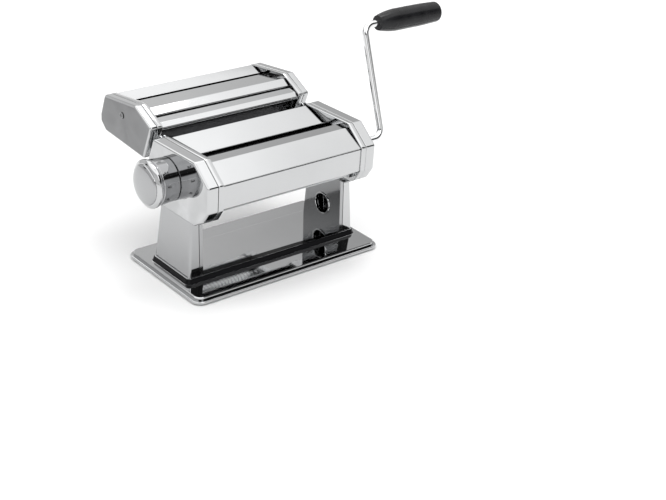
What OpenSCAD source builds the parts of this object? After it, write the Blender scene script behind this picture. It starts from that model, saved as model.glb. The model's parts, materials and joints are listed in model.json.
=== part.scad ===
// Manual pasta roller machine with a lift-off cutter head.
// Frame: origin on the bench under the middle of the base, +Z up,
// +X towards the crank, +Y towards the cutter head. Millimetres.

/* [Base] */
// Length of the base over its skirt
base_l = 200; // [190:1:220]
// Depth of the base over its skirt
base_w = 108.6; // [104:0.2:120]
// Height of the polished ledge of the base above the bench
base_top = 6.2; // [5.8:0.1:7]
// Height of the raised deck that the legs stand on
deck_z = 10.7; // [10:0.1:12]
// Corner radius of the base
base_r = 9; // [6:1:14]

/* [Legs] */
// Distance from the middle to the outer face of a leg at its foot
leg_out = 89.1; // [88:0.1:90]
// Half the depth of a leg at its foot
leg_half = 26; // [25:0.1:28]
// How much a leg narrows on each face on its way up to the body
leg_taper = 3.2; // [2:0.1:4]
// Height of the clamp hole above the bench
clamp_z = 29.5; // [26:0.5:34]
// Radius of the clamp hole
clamp_r = 9; // [7:0.5:10]

/* [Body ends] */
// Inner edge of the rolled flange of a side frame
flange_in = 72.8; // [72:0.1:73.5]
// Joint between side frame and end cover
joint_x = 77.9; // [77.5:0.1:78.5]
// Outer face of the end covers of the body
cover_out = 88.5; // [87:0.1:90]
// Outer face of the end covers of the cutter head
head_out = 85; // [84:0.1:86]

/* [Rollers] */
// Radius of the two smooth rollers
roller_r = 14; // [13.6:0.05:14]
// Length of the smooth rollers
roller_l = 148; // [140:1:148]
// Height of the roller axes
roller_z = 93; // [92:0.2:94]
// Place of the driven roller's axis along Y
drive_y = -23; // [-24:0.1:-22]
// Widest gap between the rollers, at dial position 1
gap_max = 2.7; // [2.4:0.1:3]
// Travel of the adjustable roller from the first to the last position
shift = 2.4; // [1.6:0.1:2.4]
// Number of teeth of each roller gear
gear_teeth = 16; // [16:1:16]

/* [Thickness knob] */
// Place of the knob's axis along Y
knob_y = 7.3; // [6:0.1:8]
// Height of the knob's axis
knob_z = 89.8; // [89:0.1:91]
// Largest radius of the knob
knob_r = 20.8; // [20:0.1:22]
// Number of dial positions
positions = 9; // [7:1:10]

/* [Crank] */
// Distance from the roller axis to the grip axis
crank_l = 100.4; // [90:0.2:120]
// Lean of the crank arm at rest, towards the cutter head
crank_lean = 20.2; // [0:0.1:30]
// Radius of the crank rod
rod_r = 3.2; // [3:0.05:3.2]
// Length of the grip
grip_l = 74.3; // [72:0.1:80]

/* [Cutters] */
// Outer radius of the cutting rollers
cutter_r = 7.5; // [7.5:0.1:7.5]
// Distance between the axes of a cutting pair
cutter_gap = 14.2; // [14.2:0.1:14.4]
// Width of one wide ribbon
wide_cut = 6.5; // [5:0.5:8]
// Width of one narrow ribbon
narrow_cut = 2; // [2:0.5:3]

/* [Hidden] */
$fn = 64;

chrome = "silver";
steel = "lightsteelblue";
dark = "dimgray";

// Outline of the body ends in the YZ plane, anticlockwise from the front
body_outline = [
    [-49.5, 102.1], [-49.5, 80], [-42.5, 69], [-30, 61.5], [38, 61.5],
    [45, 68], [45, 78], [31, 116.4], [-29, 118]];
// Outline of the cutter head ends
head_outline = [
    [39.5, 121.5], [50.9, 90.2], [112, 93.8], [120.5, 101], [120.5, 108],
    [114, 127.3], [64.5, 133.6]];

sheet = 1;           // thickness of the formed sheets
corner_r = 2.6;      // rounding of the corners of both outlines
flange_t = 0.8;      // thickness of the frame flange
web_t = 1.5;         // thickness of the frame web
web_in = joint_x - web_t;
skirt_z = 1;         // lower edge of the base skirt
tier_z = 3.4;        // joint between base skirt and base plate
rim_inset = 2.7;     // step from the skirt to the plate
deck_rim = 4.5;      // width of the sloping rim of the deck
deck_x = leg_out + 0.9;    // half the length of the deck's top
deck_y = leg_half + 0.6;   // half the depth of the deck's top
leg_in = 74.6;       // inner face of the legs
leg_seam = 78;       // seam between leg plate and leg shell
body_low = 61.5;     // underside of the body ends
adjust_y = drive_y + 2 * roller_r + gap_max;
journal_r = 5;
fit = 0.05;          // radial clearance of the running fits
mouth_fit = 0.6;     // radial clearance of the crank in a cutter's mouth
mouth_depth = 6;     // depth of that round mouth
turn = 36 * (positions - 1);   // turn of the knob over all positions
cam_r = 10;
follower_r = 2;
follower_y = knob_y - cam_r - follower_r - fit;
bar_y = 27;
bar_z = 82;
bar_r = 3;
rod_flat = 2.4;       // flat on the driving end of the crank
crank_x = 119.5;     // plane of the crank arm
bend_r = 9;          // bend radius of the crank rod
grip_x = 135;        // inner end of the grip
rod_end = 199.5;     // end of the rod inside the grip
rail_lean = atan2(45 - 31, 116.4 - 78);
rail_foot = -30;     // lower end of the rails, measured down the slope
rail_s = 4.6;        // how far the rails stand off the body
head_s = 9.7;        // gap between body and cutter head
wide_drive = [58, 105.5];
wide_idle = wide_drive + cutter_gap * [cos(22.8), sin(22.8)];
narrow_drive = [102.2, 107.5];
narrow_idle = narrow_drive - [cutter_gap, 0];

// ---- helpers ----

function unit(v) = v / norm(v);
function left_of(v) = [-v[1], v[0]];

// Outline moved inwards by d, for an anticlockwise outline
function inset(pts, d) = [
    for (i = [0 : len(pts) - 1])
        let (n = len(pts),
             a = left_of(unit(pts[i] - pts[(i + n - 1) % n])),
             b = left_of(unit(pts[(i + 1) % n] - pts[i])))
        pts[i] + d * (a + b) / (1 + a * b)];

// Convex anticlockwise outline with its corners rounded to radius r
function soften(pts, r) = [
    for (i = [0 : len(pts) - 1], k = [-2 : 2])
        let (n = len(pts),
             a = unit(pts[(i + n - 1) % n] - pts[i]),
             b = unit(pts[(i + 1) % n] - pts[i]),
             half = acos(a * b) / 2,
             m = unit(-a - b),
             w = (90 - half) * k / 2)
        pts[i] - m * r / sin(half)
            + r * [m[0] * cos(w) - m[1] * sin(w), m[0] * sin(w) + m[1] * cos(w)]];

// Open path given a thickness t on its left side
function strip(path, t) = let (n = len(path)) concat(path, [
    for (k = [n - 1 : -1 : 0])
        let (a = left_of(unit(k > 0 ? path[k] - path[k - 1] : path[1] - path[0])),
             b = left_of(unit(k < n - 1 ? path[k + 1] - path[k]
                                        : path[n - 1] - path[n - 2])))
        path[k] + t * (a + b) / (1 + a * b)]);

// A YZ shape extruded from x0 to x1
module span(x0, x1)
    translate([x0, 0, 0]) rotate([90, 0, 90]) linear_extrude(x1 - x0) children();

// A round bar along X at p = [y, z]
module bar(p, r, x0, x1)
    translate([x0, p[0], p[1]]) rotate([0, 90, 0]) cylinder(r = r, h = x1 - x0);

// A round bar swept along Y by len, as for a slot
module slot_bar(p, r, len, x0, x1) {
    bar(p, r, x0, x1);
    bar(p - [len, 0], r, x0, x1);
    translate([x0, p[0] - len, p[1] - r]) cube([x1 - x0, len, 2 * r]);
}

module mirrored(side)
    if (side < 0) mirror([1, 0, 0]) children(); else children();

// Profile of radius against x, turned about an X axis through p
module turned(p) translate([0, p[0], p[1]]) rotate([0, 90, 0]) rotate([0, 0, 90])
    rotate_extrude() rotate(90) mirror([0, 1]) children();

module rounded_slab(l, w, r, z0, z1) {
    translate([-l / 2 + r, -w / 2, z0]) cube([l - 2 * r, w, z1 - z0]);
    translate([-l / 2, -w / 2 + r, z0]) cube([l, w - 2 * r, z1 - z0]);
    for (x = [-1, 1], y = [-1, 1])
        translate([x * (l / 2 - r), y * (w / 2 - r), z0])
            cylinder(r = r, h = z1 - z0);
}

// ---- base ----

foot_spots = [for (x = [-1, 1], y = [-1, 1])
    [x * (base_l / 2 - 11), y * (base_w / 2 - 11)]];
leg_screw_spots = [for (x = [-1, 1], y = [-1, 1]) [x * 82, y * 14]];

// Side view of the deck with its sloping rims, thinned by t
function deck_side(half, t) = let (low = base_top - 2.5, out = half + deck_rim)
    inset([[-out, low], [out, low], [out, base_top], [half, deck_z],
           [-half, deck_z], [-out, base_top]], t);

module deck(t) intersection() {
    span(-base_l / 2, base_l / 2) polygon(deck_side(deck_y, t));
    translate([0, base_w / 2, 0]) rotate([90, 0, 0]) linear_extrude(base_w)
        polygon(deck_side(deck_x, t));
}

module base_plate() color(chrome) difference() {
    union() {
        rounded_slab(base_l - 2 * rim_inset, base_w - 2 * rim_inset,
                     base_r - rim_inset, tier_z, base_top);
        deck(0);
    }
    rounded_slab(base_l - 2 * rim_inset - 2, base_w - 2 * rim_inset - 2,
                 base_r - rim_inset - 1, tier_z - 1, base_top - sheet);
    deck(sheet);
    for (s = leg_screw_spots)
        translate([s[0], s[1], 0]) cylinder(r = 2.1, h = deck_z + 1);
}

module base_skirt() color(chrome) difference() {
    rounded_slab(base_l, base_w, base_r, skirt_z, tier_z);
    rounded_slab(base_l - 2.4, base_w - 2.4, base_r - 1.2, 0, tier_z - 0.8);
    rounded_slab(base_l - 44, base_w - 44, 4, 0, tier_z + 1);
}

module rubber_feet() color(dark)
    for (s = foot_spots) translate([s[0], s[1], 0]) difference() {
        cylinder(r = 7, h = tier_z - 0.8);
        translate([0, 0, -1]) cylinder(r = 3, h = 2);
    }

module leg_screws() color(steel)
    for (s = leg_screw_spots) translate([s[0], s[1], 0]) {
        translate([0, 0, deck_z - sheet - 1.7]) cylinder(r = 3.6, h = 1.7);
        translate([0, 0, deck_z - sheet - 0.8]) cylinder(r = 2, h = 6.2);
        translate([0, 0, deck_z + web_t]) cylinder(r = 3.5, h = 2.6, $fn = 6);
    }

// ---- legs ----

// Solid tapered block of a leg between x0 and x1, thinned by t on each face
module leg_block(x0, x1, top, t) {
    slope = leg_taper / (body_low - deck_z);
    low = deck_z - (t > 0 ? 1 : 0);
    high = top + (t > 0 ? 1 : 0);
    half = function (z) leg_half - t - slope * (z - deck_z);
    outer = function (z) x1 - t - slope * (z - deck_z);
    intersection() {
        span(x0, x1 + 1) polygon([[-half(low), low], [half(low), low],
                                  [half(high), high], [-half(high), high]]);
        translate([0, leg_half + 5, 0]) rotate([90, 0, 0])
            linear_extrude(2 * leg_half + 10)
            polygon([[x0, low], [outer(low), low], [outer(high), high],
                     [x0, high]]);
    }
}

module leg_shell(side) color(chrome) mirrored(side) difference() {
    leg_block(leg_seam + 0.1, leg_out, 67, 0);
    leg_block(leg_seam - 1, leg_out, 67, sheet);
}

module leg_plate(side, hole) color(chrome) mirrored(side) difference() {
    intersection() {
        leg_block(leg_in, leg_out, body_low, 0);
        translate([leg_in, -50, 0]) cube([leg_seam - 0.1 - leg_in, 100, 80]);
    }
    leg_block(leg_in + sheet, leg_out + 9, body_low, sheet);
    if (hole) bar([0, clamp_z], clamp_r, leg_in - 5, leg_in + 5);
}

module clamp_eyelet() color(chrome)
    translate([leg_in, 0, clamp_z]) rotate([0, 90, 0]) rotate_extrude()
        polygon([[clamp_r, -0.9], [clamp_r + 1.1, -0.9], [clamp_r + 1.6, -0.4],
                 [clamp_r + 1.6, 0], [clamp_r, 0]]);

// ---- body frames and covers ----

module pan(outline) {
    edge = soften(outline, corner_r);
    span(web_in, joint_x) polygon(edge);
    difference() {
        span(flange_in, joint_x - 0.5) polygon(edge);
        span(flange_in - 1, joint_x) polygon(inset(edge, flange_t));
    }
}

tie_spots = [[-40, 78], [-39.5, 101], [25, 106.5], [36, 72]];
cover_screw_spots = [[25, 68], [35, 84]];

module side_frame(side) color(steel) mirrored(side) difference() {
    union() {
        pan(body_outline);
        span(web_in, joint_x) polygon([[-19, deck_z], [19, deck_z],
                                       [17, body_low + 1], [-17, body_low + 1]]);
        translate([web_in, -19, deck_z]) cube([10, 38, web_t]);
    }
    bar([drive_y, roller_z], 7, 60, 90);
    slot_bar([adjust_y, roller_z], journal_r + 0.6, shift, 60, 90);
    slot_bar([bar_y, bar_z], bar_r + fit, shift, 60, 90);
    if (side < 0) slot_bar([follower_y, knob_z], follower_r + 0.3, shift, 60, 90);
    bar([0, clamp_z], clamp_r + 1.5, 60, 90);
    for (t = tie_spots) bar(t, 2.05, 60, 90);
    for (y = [-14, 14]) translate([82, y, deck_z - 1]) cylinder(r = 2.1, h = 4);
}

module cap(outline, out, wall) {
    edge = soften(outline, corner_r);
    difference() {
        span(joint_x + 0.1, out) polygon(edge);
        span(joint_x, out - wall) polygon(inset(edge, wall));
    }
}

module end_cover(side) color(chrome) mirrored(side) difference() {
    cap(body_outline, cover_out, sheet);
    // mouth for the leg, which goes up into the cover
    translate([60, -leg_half - 0.2, body_low - 3])
        cube([27.2, 2 * leg_half + 0.4, 5]);
    if (side > 0) bar([drive_y, roller_z], 5, 80, 95);
    else bar([knob_y, knob_z], 5, 80, 95);
    for (s = cover_screw_spots) bar(s, 1.6, 80, 95);
}

// Screws with a shallow head and a long shank into the frame
module cross_screw(p, out) difference() {
    union() {
        bar(p, 1.5, joint_x, out);
        bar(p, 3, out, out + 0.7);
    }
    translate([out + 0.3, p[0] - 2, p[1] - 0.35]) cube([1, 4, 0.7]);
    translate([out + 0.3, p[0] - 0.35, p[1] - 2]) cube([1, 0.7, 4]);
}

module cover_screws() color(steel) for (side = [-1, 1], s = cover_screw_spots)
    mirrored(side) cross_screw(s, cover_out);

module tie_rods() color(steel) for (t = tie_spots) {
    bar(t, 3, -web_in, web_in);
    for (side = [-1, 1]) mirrored(side) {
        bar(t, 2, web_in, joint_x);
        bar(t, 3.4, joint_x, joint_x + 1.3);
    }
}

// ---- formed sheets of the body ----

sheet_x = web_in - 0.1;
rim = inset(body_outline, flange_t + 0.1);

module body_sheet(path, t) color(chrome) span(-sheet_x, sheet_x)
    polygon(strip(path, t));

module front_cover() body_sheet([
    [rim[0][0], rim[0][1] - 1.1], [rim[1][0], 79.7], [rim[1][0] + 5, 79.7]], sheet);

module hopper_front() body_sheet([
    [-15.2, 106.8], [-17.2, 114.2], [-28.6, 114.2],
    rim[0] + [0.2, 0]], sheet);

module hopper_plate() body_sheet([[-2, 110.4], [29.4, 115]], -sheet);

module rear_cover() body_sheet([
    [rim[7][0] + 0.6, rim[7][1] - 1.6], [rim[6][0], rim[6][1]],
    [rim[5][0], rim[5][1]], [rim[5][0] - 5, rim[5][1] - 4.6]], -sheet);

// ---- driven roller and crank ----

// Round hole of radius r with a flat, drawn in the YZ plane
module d_shape(r, flat) intersection() {
    circle(r = r);
    translate([-r - 1, -r - 1]) square([2 * r + 2, r + 1 + flat]);
}

module drive_roller() color(chrome) difference() {
    union() {
        bar([drive_y, roller_z], roller_r, -roller_l / 2, roller_l / 2);
        bar([drive_y, roller_z], journal_r, -79.5, 86);
    }
    span(58, 87) translate([drive_y, roller_z]) rotate(-crank_lean)
        d_shape(rod_r + fit, rod_flat + fit);
}

// Tooth flanks run straight from the root to the tip
module gear_shape(n, root, tip, w_root, w_tip, start) polygon([
    for (i = [0 : n - 1], k = [[-w_root, root], [-w_tip, tip], [w_tip, tip],
                               [w_root, root]])
        let (a = start + 360 * (i + k[0] / 2) / n) k[1] * [cos(a), sin(a)]]);

gear_tip = roller_r + gap_max / 2 + 0.45;
gear_root = 2 * roller_r + gap_max - shift - gear_tip - 0.2;

module roller_gear(y, start) color(steel) difference() {
    span(79.5, 84.5) translate([y, roller_z])
        gear_shape(gear_teeth, gear_root, gear_tip, 0.58, 0.26, start);
    bar([y, roller_z], journal_r, 70, 90);
}

module drive_bushes() color("darkgoldenrod") for (side = [-1, 1])
    mirrored(side) difference() {
        union() {
            bar([drive_y, roller_z], 7, web_in, joint_x + 1);
            bar([drive_y, roller_z], 8.5, web_in - 1.2, web_in);
        }
        bar([drive_y, roller_z], journal_r + fit, 60, 90);
    }

// Quarter bend from +X to the arm direction, in the crank's own plane
module bend() rotate_extrude(angle = 90) translate([bend_r, 0]) circle(r = rod_r);

module crank_pose() translate([0, drive_y, roller_z])
    rotate([-crank_lean, 0, 0]) children();

module crank_rod() color(chrome) crank_pose() {
    difference() {
        rotate([0, 90, 0]) translate([0, 0, 60])
            cylinder(r = rod_r, h = crank_x - bend_r - 60);
        translate([55, -5, rod_flat]) cube([33, 10, 5]);
    }
    translate([crank_x - bend_r, 0, bend_r]) rotate([90, 0, 0]) rotate([0, 0, -90])
        bend();
    translate([crank_x, 0, bend_r]) cylinder(r = rod_r, h = crank_l - 2 * bend_r);
    translate([crank_x + bend_r, 0, crank_l - bend_r]) rotate([90, 0, 0])
        rotate([0, 0, 90]) bend();
    translate([crank_x + bend_r, 0, crank_l]) rotate([0, 90, 0])
        cylinder(r = rod_r, h = rod_end - crank_x - bend_r);
}

grip_axis = [drive_y + crank_l * sin(crank_lean),
             roller_z + crank_l * cos(crank_lean)];

module grip_retainer() color(steel) difference() {
    bar(grip_axis, 4.9, rod_end - 3, rod_end - 0.1);
    bar(grip_axis, rod_r, rod_end - 4, rod_end + 1);
}

// Radius of the grip along its length: swells, thins and closes round
function grip_r(x) = let (u = x / grip_l, tail = grip_l - x)
    (6.9 + 3.2 * sin(90 * min(1, u / 0.3)) - pow(max(0, u - 0.6) / 0.4, 1.5))
    * (tail < 4.5 ? sqrt(1 - pow(1 - tail / 4.5, 2)) : 1);

module grip() color("black") difference() {
    turned(grip_axis) polygon(concat([[grip_x, 0]], [
        for (i = [0 : 31]) let (x = grip_l * sin(90 * i / 31))
            [grip_x + x, max(0.4, grip_r(x))]], [[grip_x + grip_l, 0]]));
    bar(grip_axis, rod_r + fit, grip_x - 1, rod_end - 3.3);
    bar(grip_axis, 5.1, rod_end - 3.3, rod_end + 2.5);
}

// ---- adjustable roller on its sliding carriage ----

module carriage_plate(side) color(steel) mirrored(side) difference() {
    span(74.3, 75.9) polygon([[-8.2, 84], [2, 79], [22, 77.5], [31.5, 78],
                              [32, 86], [22, 102], [-2, 102], [-8.2, 96]]);
    bar([adjust_y, roller_z], journal_r + fit, 70, 80);
    bar([bar_y, bar_z], bar_r, 70, 80);
    if (side < 0) bar([follower_y, knob_z], follower_r, 70, 80);
}

module carriage_bar() color(steel) bar([bar_y, bar_z], bar_r, -77.5, 77.5);

module cam_follower() color(steel) mirror([1, 0, 0])
    bar([follower_y, knob_z], follower_r, 74.3, 84.3);

module adjust_roller() color(chrome) {
    bar([adjust_y, roller_z], roller_r, -roller_l / 2, roller_l / 2);
    bar([adjust_y, roller_z], journal_r, -79, 85.5);
}

// Thin blade whose edge stands just clear of a roller
module blade(edge, lean, len, half) color(steel)
    translate([0, edge[0], edge[1]]) rotate([lean, 0, 0])
        translate([-half, 0, -len]) cube([2 * half, 0.8, len]);

module front_scraper() {
    blade([drive_y - 11.2, roller_z - 9.5], -14, 12, 70);
    color(steel) for (side = [-1, 1]) mirrored(side)
        translate([70, drive_y - 15.2, 70.5]) cube([web_in - 70, 3.2, 5]);
}

module rear_scraper() {
    blade([adjust_y + 10.8, roller_z - 10.4], 14, 8, 70);
    color(steel) for (side = [-1, 1]) mirrored(side)
        translate([70, adjust_y + 11.7, 75.5]) cube([4.3, 3.2, 5]);
}

// ---- thickness knob ----

function snail(a) = cam_r + shift * min(max(a, 0), turn) / turn;

module cam_shaft() color(steel) {
    mirror([1, 0, 0]) span(80.3, 84.3) translate([knob_y, knob_z])
        polygon([for (a = [-6 : 3 : 351])
            (a < turn + 6 ? snail(a) : snail(turn) - shift * (a - turn - 6)
                / (354 - turn - 6)) * [cos(180 + a), sin(180 + a)]]);
    mirror([1, 0, 0]) {
        bar([knob_y, knob_z], 4, 79.4, 94);
        span(94, 110) translate([knob_y, knob_z]) d_shape(4, 3);
        bar([knob_y, knob_z], 7, 110, 111.2);
        bar([knob_y, knob_z], 2.6, 111.2, 112.6);
    }
}

module index_collar() color(chrome) mirror([1, 0, 0]) difference() {
    bar([knob_y, knob_z], 16.8, cover_out, 91.5);
    bar([knob_y, knob_z], 4 + fit, 80, 95);
    for (i = [0 : positions - 1])
        bar([knob_y, knob_z] + 12 * [cos(180 + 36 * i), sin(180 + 36 * i)],
            1.5, 90.5, 92);
}

module thickness_knob() color(chrome) mirror([1, 0, 0]) difference() {
    turned([knob_y, knob_z]) polygon([
        [88.9, 17.3], [88.9, 18.9], [104.2, 19.6], [104.5, 19.2], [105.1, 19.2],
        [105.4, 19.8], [107.2, knob_r], [109.2, knob_r], [111.1, 18.4],
        [111.1, 17.4], [97, 17.4], [97, 8], [102.6, 8], [102.6, 2],
        [94, 2], [94, 17.3]]);
    span(90, 105) translate([knob_y, knob_z]) d_shape(4 + fit, 3 + fit);
}

module knob_cap() color(chrome) mirror([1, 0, 0]) turned([knob_y, knob_z])
    polygon(concat(
        [for (a = [0 : 6 : 90]) [111.1 + 3.9 * cos(a), 17.3 * sin(a)]],
        [for (a = [90 : -6 : 0]) [110.2 + 3.7 * cos(a), 16.3 * sin(a)]]));

module detent_pin() color(steel) mirror([1, 0, 0])
    bar([knob_y - 12, knob_z], 1.25, 91.7, 94);

// Round wire wound on an X axis, swept as one closed mesh
module coil(p, r, wire, turns, x0, x1) {
    steps = turns * 12;
    sides = 6;
    ring = function (i) let (a = 360 * turns * i / steps,
                             x = x0 + (x1 - x0) * i / steps)
        [for (k = [0 : sides - 1]) let (b = 360 * k / sides)
            [x + wire * sin(b), p[0] + (r + wire * cos(b)) * cos(a),
             p[1] + (r + wire * cos(b)) * sin(a)]];
    polyhedron(
        [for (i = [0 : steps]) each ring(i)],
        concat([[for (k = [0 : sides - 1]) k]],
            [for (i = [0 : steps - 1], k = [0 : sides - 1])
                [i * sides + k, (i + 1) * sides + k,
                 (i + 1) * sides + (k + 1) % sides, i * sides + (k + 1) % sides]],
            [[for (k = [sides - 1 : -1 : 0]) steps * sides + k]]));
}

module knob_spring() color(steel) mirror([1, 0, 0])
    coil([knob_y, knob_z], 5.6, 0.4, 3, 103.1, 109.5);

// ---- rails that carry the cutter head ----

// Local frame on the sloping back of the body: y off it, z up the slope
module on_back() translate([0, 31, 116.4]) rotate([rail_lean, 0, 0]) children();

module head_rails() color(steel) on_back() for (side = [-1, 1]) mirrored(side)
    difference() {
        translate([flange_in, 0, rail_foot]) cube([5.1, rail_s, 27]);
        translate([73.8, 1.2, rail_foot + 4]) cube([3.1, 1.8, 30]);
        translate([74.6, 2.9, rail_foot + 4]) cube([1.5, 3, 30]);
    }

module head_tongues() color(steel) on_back() for (side = [-1, 1]) mirrored(side) {
    translate([73.9, 1.3, rail_foot + 4.05]) cube([2.9, 1.6, 18]);
    translate([74.7, 2.8, rail_foot + 4.05]) cube([1.3, head_s - 2.8, 18]);
}

// ---- cutter head ----

head_tie_spots = [[48.5, 116], [80, 99], [112.4, 101.6], [74, 123]];
head_screw_spots = [[85, 118]];
head_rim = inset(head_outline, flange_t + 0.1);

module head_frame(side) color(steel) mirrored(side) difference() {
    pan(head_outline);
    // the underside stays open for the ribbons to fall out
    translate([flange_in - 1, 58, 80]) cube([web_in - flange_in + 1, 48, 16]);
    for (p = [wide_drive, wide_idle, narrow_drive, narrow_idle])
        bar(p, 4.5 + fit, 60, 90);
    for (t = head_tie_spots) bar(t, 1.8, 60, 90);
}

module head_cover(side) color(chrome) mirrored(side) difference() {
    cap(head_outline, head_out, sheet);
    if (side > 0) for (p = [wide_drive, narrow_drive]) bar(p, 4.9, 80, 90);
    for (s = head_screw_spots) bar(s, 1.6, 80, 90);
}

module head_screws() color(steel) for (side = [-1, 1], s = head_screw_spots)
    mirrored(side) cross_screw(s, head_out);

module head_tie_rods() color(steel) for (t = head_tie_spots) {
    bar(t, 2.4, -web_in, web_in);
    for (side = [-1, 1]) mirrored(side) {
        bar(t, 1.75, web_in, joint_x);
        bar(t, 2.6, joint_x, joint_x + 1);
    }
}

module head_rear_sheet() body_sheet([
    [94, 118.5], [93.3, 125.1], head_rim[5] - [0.1, 0], head_rim[4], head_rim[3],
    [111.4, 95.2], [108, 95]], -sheet);

module head_mid_sheet() body_sheet([
    [90.8, 118.5], [90, 126.5], [62.2, 130.2], [54.2, 125.6], [57.6, 118.5]],
    sheet);

module head_front_sheet() body_sheet([
    [54.6, 117.8], [52.3, 124.7], [48, 124.3], [head_rim[0][0] + 0.9, 119.9],
    [head_rim[1][0], head_rim[1][1] + 0.6], [57, 92.3]], sheet);

// Roller with ridges of one pitch; phase 1 moves the ridges on by one cut.
// The socket is round at its mouth and has the flat further in.
module cutter(p, cut, phase, right_end, socket) color(chrome) difference() {
    mouth = right_end - mouth_depth;
    turned(p) {
        rings = floor(145 / (2 * cut));
        x0 = (phase - rings) * cut;
        core = cutter_gap - cutter_r - 0.1;
        polygon(concat(
            [[-79, 0], [-79, 4.5], [-75.5, 4.5], [-75.5, core]],
            [for (i = [0 : rings - 1], e = [[0.1, core], [0.1, cutter_r],
                    [cut - 0.1, cutter_r], [cut - 0.1, core]])
                [x0 + 2 * cut * i + e[0], e[1]]],
            [[75.5, core], [75.5, 4.5], [right_end, 4.5], [right_end, 0]]));
    }
    if (socket) {
        span(69, mouth + 0.1) translate(p) d_shape(rod_r + fit, rod_flat + fit);
        bar(p, rod_r + mouth_fit, mouth, right_end + 1);
    }
}

module cutter_gear(p, start) color(steel) difference() {
    span(79.2, 82.8) translate(p)
        gear_shape(14, cutter_gap / 2 - 1.35, cutter_gap / 2 + 1, 0.57, 0.27, start);
    bar(p, 4.5, 70, 90);
}

module cutter_strippers() for (p = [[wide_drive, -1], [wide_idle, 1],
                                    [narrow_idle, -1], [narrow_drive, 1]])
    blade(p[0] + [p[1] * 3.2 - 0.4, -cutter_r - 0.6], p[1] * 16, 3.8, web_in);

base_plate();
base_skirt();
rubber_feet();
leg_shell(-1);  // leg_shell_left
leg_shell(1);  // leg_shell_right
leg_plate(-1, false);  // leg_plate_left
leg_plate(1, true);  // leg_plate_right
clamp_eyelet();
leg_screws();
side_frame(-1);  // side_frame_left
side_frame(1);  // side_frame_right
end_cover(-1);  // end_cover_left
end_cover(1);  // end_cover_right
cover_screws();
front_cover();
hopper_front();
hopper_plate();
rear_cover();
tie_rods();
front_scraper();
head_rails();
drive_bushes();
index_collar();
drive_roller();
roller_gear(drive_y, 0);  // drive_gear
crank_rod();
grip_retainer();
grip();
carriage_plate(-1);  // carriage_plate_left
carriage_plate(1);  // carriage_plate_right
carriage_bar();
cam_follower();
rear_scraper();
adjust_roller();
roller_gear(adjust_y, 180 + 180 / gear_teeth);  // adjust_gear
cam_shaft();
thickness_knob();
knob_cap();
detent_pin();
knob_spring();
head_frame(-1);  // head_frame_left
head_frame(1);  // head_frame_right
head_cover(-1);  // head_cover_left
head_cover(1);  // head_cover_right
head_screws();
head_rear_sheet();
head_mid_sheet();
head_front_sheet();
head_tie_rods();
head_tongues();
cutter_strippers();
cutter(wide_drive, wide_cut, 0, 84.4, true);  // wide_drive_cutter
cutter_gear(wide_drive, 22.8);  // wide_drive_gear
cutter(wide_idle, wide_cut, 1, 83, false);  // wide_idle_cutter
cutter_gear(wide_idle, 22.8 + 180 + 180 / 14);  // wide_idle_gear
cutter(narrow_drive, narrow_cut, 0, 84.4, true);  // narrow_drive_cutter
cutter_gear(narrow_drive, 180);  // narrow_drive_gear
cutter(narrow_idle, narrow_cut, 1, 83, false);  // narrow_idle_cutter
cutter_gear(narrow_idle, 180 / 14);  // narrow_idle_gear
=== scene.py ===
"""Looks of the pasta roller machine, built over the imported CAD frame.

Lengths are in millimetres until they reach a mesh, which is in metres. X runs along
the rollers to the crank, Y back to the cutter head, Z up.
"""
import json
import math

import bmesh
import bpy
from mathutils import Matrix, Vector


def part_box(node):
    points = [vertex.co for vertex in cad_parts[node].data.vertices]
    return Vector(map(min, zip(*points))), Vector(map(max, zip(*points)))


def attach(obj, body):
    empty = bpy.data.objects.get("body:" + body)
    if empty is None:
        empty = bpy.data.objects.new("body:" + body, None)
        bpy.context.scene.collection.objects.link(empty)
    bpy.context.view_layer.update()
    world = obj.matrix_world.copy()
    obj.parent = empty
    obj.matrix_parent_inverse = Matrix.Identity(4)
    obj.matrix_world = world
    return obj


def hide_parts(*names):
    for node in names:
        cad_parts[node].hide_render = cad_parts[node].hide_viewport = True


MM = 0.001
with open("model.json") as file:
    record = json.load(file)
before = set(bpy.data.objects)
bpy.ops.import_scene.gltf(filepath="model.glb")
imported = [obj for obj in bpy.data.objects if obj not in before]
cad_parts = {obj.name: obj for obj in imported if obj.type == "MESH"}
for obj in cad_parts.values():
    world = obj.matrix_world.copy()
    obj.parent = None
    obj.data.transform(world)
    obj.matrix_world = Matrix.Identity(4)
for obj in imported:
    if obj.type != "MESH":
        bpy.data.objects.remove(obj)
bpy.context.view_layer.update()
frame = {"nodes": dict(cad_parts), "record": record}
nodes = frame["nodes"]

# ---- camera -------------------------------------------------------------------------

CAMERA_AZIMUTH, CAMERA_ELEVATION, CAMERA_ROLL = -41.55, 27.39, 4.22   # degrees
CAMERA_TARGET = Vector((24.96, -75.56, 28.11)) * MM
CAMERA_DISTANCE = 1148.4 * MM
CAMERA_LENS = 72.58


def make_camera():
    az, el = math.radians(CAMERA_AZIMUTH), math.radians(CAMERA_ELEVATION)
    back = Vector((math.sin(az) * math.cos(el), -math.cos(az) * math.cos(el), math.sin(el)))
    right = (-back).cross(Vector((0, 0, 1))).normalized()
    up = right.cross(-back)
    roll = math.radians(CAMERA_ROLL)
    axis_x = right * math.cos(roll) + up * math.sin(roll)
    axis_y = up * math.cos(roll) - right * math.sin(roll)
    data = bpy.data.cameras.new("camera")
    data.sensor_width, data.lens = 36, CAMERA_LENS
    data.clip_start, data.clip_end = 0.05, 50
    camera = bpy.data.objects.new("camera", data)
    turn = Matrix((axis_x, axis_y, back)).transposed().to_4x4()
    camera.matrix_world = Matrix.Translation(CAMERA_TARGET + back * CAMERA_DISTANCE) @ turn
    bpy.context.scene.collection.objects.link(camera)
    bpy.context.scene.camera = camera


make_camera()
bpy.context.scene.view_settings.view_transform = "Standard"

# ---- materials ----------------------------------------------------------------------


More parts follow.
